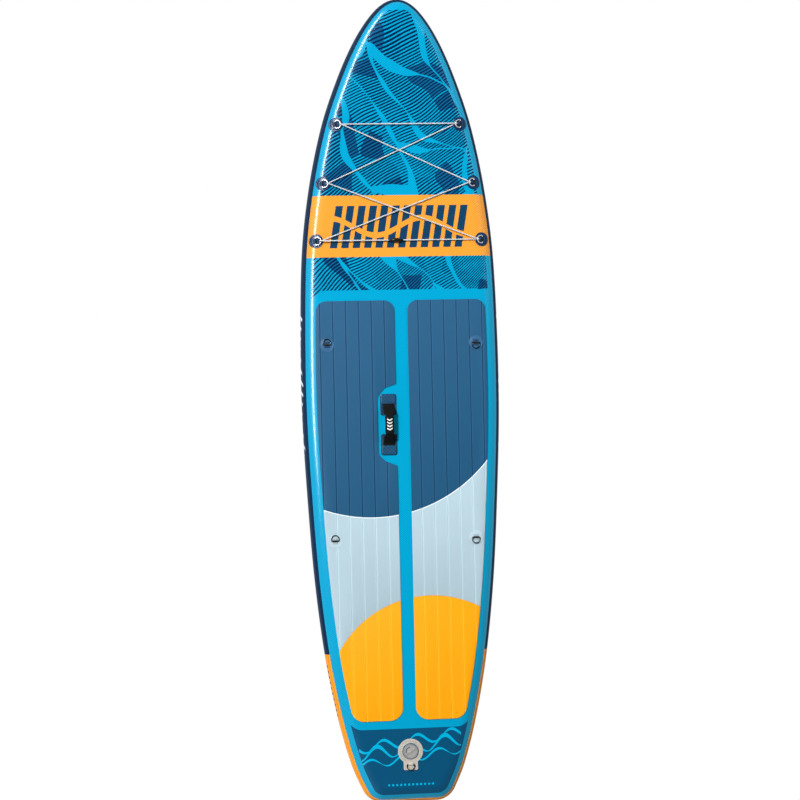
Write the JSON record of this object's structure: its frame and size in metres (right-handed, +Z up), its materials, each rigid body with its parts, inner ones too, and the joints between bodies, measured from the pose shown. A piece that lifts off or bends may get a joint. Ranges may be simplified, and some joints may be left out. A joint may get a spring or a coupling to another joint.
{
  "type": "stand up paddleboard",
  "caption": "Inflatable stand up paddleboard with foam deck pads, bungee cargo net, carry handle, tow and leash rings, screw-cap valve and sliding fin.",
  "frame": {"origin": "under the middle of the board's length and width, level with the tip of the centre fin, so the bottom of the whole object", "axes": "+Y towards the nose, +X to starboard, +Z up from the deck"},
  "size_m": [0.8004, 3.2, 0.5033],
  "materials": {
    "deck_pvc": "embossed satin",
    "bottom_pvc": "satin",
    "thread": "twisted polyester",
    "rail_navy": "satin",
    "rail_orange": "satin",
    "eva_navy": "embossed foam",
    "eva_grey": "embossed foam",
    "eva_yellow": "embossed foam",
    "patch_dark": "satin",
    "patch_navy": "satin",
    "patch_grey": "satin",
    "ring_steel": "polished",
    "loop_webbing": "woven",
    "bungee": "braided",
    "joiner_black": "moulded",
    "webbing_black": "woven",
    "grip_black": "neoprene",
    "valve_ivory": "moulded",
    "valve_dark": "moulded",
    "valve_silver": "moulded",
    "stem_white": "moulded",
    "seal_rubber": "soft",
    "spring_steel": "drawn",
    "ring_black": "satin",
    "box_black": "moulded",
    "fin_black": "gloss",
    "screw_steel": "turned",
    "nut_brass": "milled"
  },
  "bodies": {
    "board": {"deck_skin": "deck_pvc", "bottom_skin": "bottom_pvc", "drop_stitch_threads": "thread", "rail_band_port": "rail_navy", "rail_band_starboard": "rail_navy", "rail_band_tail": "rail_orange", "pad_port_front": "eva_navy", "pad_port_middle": "eva_grey", "pad_port_rear": "eva_yellow", "pad_starboard_front": "eva_navy", "pad_starboard_middle": "eva_grey", "pad_starboard_rear": "eva_yellow", "bungee_patch_port_front": "patch_dark", "bungee_patch_port_mid": "patch_dark", "bungee_patch_port_rear": "patch_dark", "bungee_patch_starboard_front": "patch_dark", "bungee_patch_starboard_mid": "patch_dark", "bungee_patch_starboard_rear": "patch_dark", "bungee_ring_port_front": "ring_steel", "bungee_ring_port_mid": "ring_steel", "bungee_ring_port_rear": "ring_steel", "bungee_ring_starboard_front": "ring_steel", "bungee_ring_starboard_mid": "ring_steel", "bungee_ring_starboard_rear": "ring_steel", "bungee_loops": "loop_webbing", "bungee_cord": "bungee", "bungee_joiner": "joiner_black", "ring_patch_port_front": "patch_navy", "ring_patch_port_rear": "patch_grey", "ring_patch_starboard_front": "patch_navy", "ring_patch_starboard_rear": "patch_grey", "ring_loops": "loop_webbing", "handle_patch_front": "patch_navy", "handle_patch_rear": "patch_navy", "handle_cover_front": "patch_navy", "handle_cover_rear": "patch_navy", "handle_strap": "webbing_black", "valve_plate": "valve_ivory", "valve_body": "valve_dark", "valve_nut": "valve_dark", "valve_spring": "spring_steel", "leash_keeper": "valve_ivory", "fin_box": "box_black", "side_fin_port": "fin_black", "side_fin_starboard": "fin_black"},
    "ring_port_front": {"deck_ring_port_front": "ring_steel"},
    "ring_port_rear": {"deck_ring_port_rear": "ring_steel"},
    "ring_starboard_front": {"deck_ring_starboard_front": "ring_steel"},
    "ring_starboard_rear": {"deck_ring_starboard_rear": "ring_steel"},
    "leash_ring": {"leash_ring": "ring_black"},
    "handle": {"handle_grip": "grip_black"},
    "cap_seal": {"cap_seal": "seal_rubber"},
    "valve_cap": {"valve_cap": "valve_silver"},
    "valve_plunger": {"valve_stem": "stem_white", "valve_seal": "seal_rubber"},
    "fin": {"centre_fin": "fin_black", "fin_pin": "screw_steel", "fin_screw": "screw_steel", "fin_nut": "nut_brass"}
  },
  "joints": [
    {"name": "ring_port_front_fold", "type": "hinge", "parent": "board", "child": "ring_port_front", "pos_m": [-0.299, 0.24, 0.38885], "axis": [1, 0, 0], "range_deg": [0, 180]},
    {"name": "ring_port_rear_fold", "type": "hinge", "parent": "board", "child": "ring_port_rear", "pos_m": [-0.283, -0.54, 0.38885], "axis": [1, 0, 0], "range_deg": [0, 180]},
    {"name": "ring_starboard_front_fold", "type": "hinge", "parent": "board", "child": "ring_starboard_front", "pos_m": [0.299, 0.24, 0.38885], "axis": [-1, 0, 0], "range_deg": [0, 180]},
    {"name": "ring_starboard_rear_fold", "type": "hinge", "parent": "board", "child": "ring_starboard_rear", "pos_m": [0.283, -0.54, 0.38885], "axis": [-1, 0, 0], "range_deg": [0, 180]},
    {"name": "leash_ring_fold", "type": "hinge", "parent": "board", "child": "leash_ring", "pos_m": [0, -1.439, 0.38545], "axis": [-1, 0, 0], "range_deg": [0, 120]},
    {"name": "handle_swing", "type": "hinge", "parent": "board", "child": "handle", "pos_m": [-0.0585, -0.082, 0.383], "axis": [0, 1, 0], "range_deg": [-40, 40], "stiffness_Nm_per_rad": 0.3, "deforming": ["handle_strap"]},
    {"name": "cap_lift", "type": "slide", "parent": "board", "child": "cap_seal", "axis": [0, 0, 1], "range_m": [0, 0.006]},
    {"name": "cap_turn", "type": "hinge", "parent": "cap_seal", "child": "valve_cap", "pos_m": [0, -1.387, 0.382], "axis": [0, 0, 1], "range_deg": [0, 540]},
    {"name": "valve_push", "type": "slide", "parent": "board", "child": "valve_plunger", "axis": [0, 0, -1], "range_m": [0, 0.005], "stiffness_N_per_m": 400, "springref_m": -0.002, "deforming": ["valve_spring"]},
    {"name": "fin_slide", "type": "slide", "parent": "board", "child": "fin", "axis": [0, 1, 0], "range_m": [-0.01, 0.016]}
  ],
  "couplings": [
    {"joint": "cap_lift", "follows": "cap_turn", "m_per_rad": 0.000636}
  ]
}
